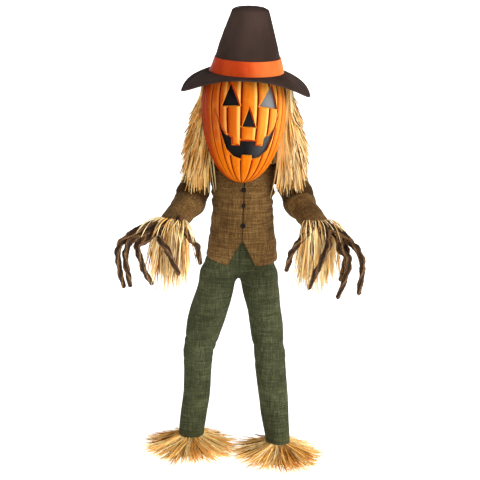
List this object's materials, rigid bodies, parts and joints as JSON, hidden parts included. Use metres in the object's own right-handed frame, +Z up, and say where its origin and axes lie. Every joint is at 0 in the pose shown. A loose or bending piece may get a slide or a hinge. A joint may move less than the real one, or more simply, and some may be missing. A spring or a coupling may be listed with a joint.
{
  "type": "scarecrow figure",
  "caption": "Standing pumpkin-headed scarecrow: grinning mask, straw hair, tall hat, tweed jacket, linen trousers and long bark-like fingers on a tube frame.",
  "frame": {"origin": "on the floor under the middle of the figure's bounding box", "axes": "+Z up, -Y to the figure's front, +X to the figure's own left"},
  "size_m": [0.7777, 0.4643, 1.5156],
  "materials": {
    "black_steel": "satin powder coat",
    "zinc_steel": "zinc plated",
    "nylon": "matt",
    "foam": "matt foam",
    "tweed": "coarse open weave",
    "linen": "slubbed weave",
    "button_horn": "satin",
    "raffia": "dry straw",
    "bark_latex": "matt, painted ridges",
    "pumpkin_plastic": "airbrushed satin",
    "black_mesh": "fine mesh",
    "hat_felt": "pressed felt",
    "orange_satin": "satin ribbon"
  },
  "bodies": {
    "frame": {"foot_plate_left": "black_steel", "foot_plate_right": "black_steel", "foot_socket_left": "black_steel", "foot_socket_right": "black_steel", "lower_leg_tube_left": "black_steel", "lower_leg_tube_right": "black_steel", "knee_coupler_left": "black_steel", "knee_coupler_right": "black_steel", "upper_leg_tube_left": "black_steel", "upper_leg_tube_right": "black_steel", "hip_bracket": "black_steel", "spine_tube": "black_steel", "shoulder_yoke": "black_steel", "neck_post": "zinc_steel", "frame_screws": "zinc_steel", "torso_padding": "foam", "leg_padding_left": "foam", "leg_padding_right": "foam", "jacket_body": "tweed", "jacket_buttons": "button_horn", "trouser_seat": "linen", "trouser_leg_left": "linen", "trouser_leg_right": "linen", "ankle_straw_left": "raffia", "ankle_straw_right": "raffia"},
    "upper_arm_left": {"upper_arm_tube_left": "black_steel", "upper_sleeve_left": "tweed"},
    "forearm_left": {"elbow_pin_left": "zinc_steel", "forearm_tube_left": "black_steel", "lower_sleeve_left": "tweed"},
    "hand_left": {"palm_left": "bark_latex", "thumb_left": "bark_latex", "index_finger_left": "bark_latex", "middle_finger_left": "bark_latex", "ring_finger_left": "bark_latex", "little_finger_left": "bark_latex", "wrist_straw_left": "raffia"},
    "upper_arm_right": {"upper_arm_tube_right": "black_steel", "upper_sleeve_right": "tweed"},
    "forearm_right": {"elbow_pin_right": "zinc_steel", "forearm_tube_right": "black_steel", "lower_sleeve_right": "tweed"},
    "hand_right": {"palm_right": "bark_latex", "thumb_right": "bark_latex", "index_finger_right": "bark_latex", "middle_finger_right": "bark_latex", "ring_finger_right": "bark_latex", "little_finger_right": "bark_latex", "wrist_straw_right": "raffia"},
    "head": {"head_hub": "nylon", "head_core": "foam", "pumpkin_mask": "pumpkin_plastic", "mask_liner": "black_mesh", "head_hood": "black_mesh", "hair_left": "raffia", "hair_right": "raffia", "hair_back": "raffia"},
    "hat": {"hat_crown": "hat_felt", "hat_brim": "hat_felt", "hat_band": "orange_satin"}
  },
  "joints": [
    {"name": "head_turn", "type": "hinge", "parent": "frame", "child": "head", "pos_m": [0, 0.045, 1.037], "axis": [0, 0, 1], "range_deg": [-30, 30], "deforming": ["hair_left", "hair_right", "hair_back"]},
    {"name": "hat_lift", "type": "slide", "parent": "head", "child": "hat", "axis": [0, -0.061, 0.9981], "range_m": [0, 0.3]},
    {"name": "shoulder_left", "type": "hinge", "parent": "frame", "child": "upper_arm_left", "pos_m": [0.14, 0.045, 0.985], "axis": [-1, 0, 0], "range_deg": [-5, 60]},
    {"name": "elbow_left", "type": "hinge", "parent": "upper_arm_left", "child": "forearm_left", "pos_m": [0.182, 0.05, 0.896], "axis": [-1, 0, 0], "range_deg": [-12, 25], "deforming": ["upper_sleeve_left"]},
    {"name": "wrist_left", "type": "hinge", "parent": "forearm_left", "child": "hand_left", "pos_m": [0.234, -0.125, 0.858], "axis": [0.2789, -0.9385, -0.2038], "range_deg": [-25, 25]},
    {"name": "shoulder_right", "type": "hinge", "parent": "frame", "child": "upper_arm_right", "pos_m": [-0.14, 0.045, 0.985], "axis": [-1, 0, 0], "range_deg": [-5, 60]},
    {"name": "elbow_right", "type": "hinge", "parent": "upper_arm_right", "child": "forearm_right", "pos_m": [-0.163, 0.05, 0.885], "axis": [-1, 0, 0], "range_deg": [-12, 25], "deforming": ["upper_sleeve_right"]},
    {"name": "wrist_right", "type": "hinge", "parent": "forearm_right", "child": "hand_right", "pos_m": [-0.211, -0.125, 0.846], "axis": [-0.2586, -0.9429, -0.2101], "range_deg": [-25, 25]}
  ]
}
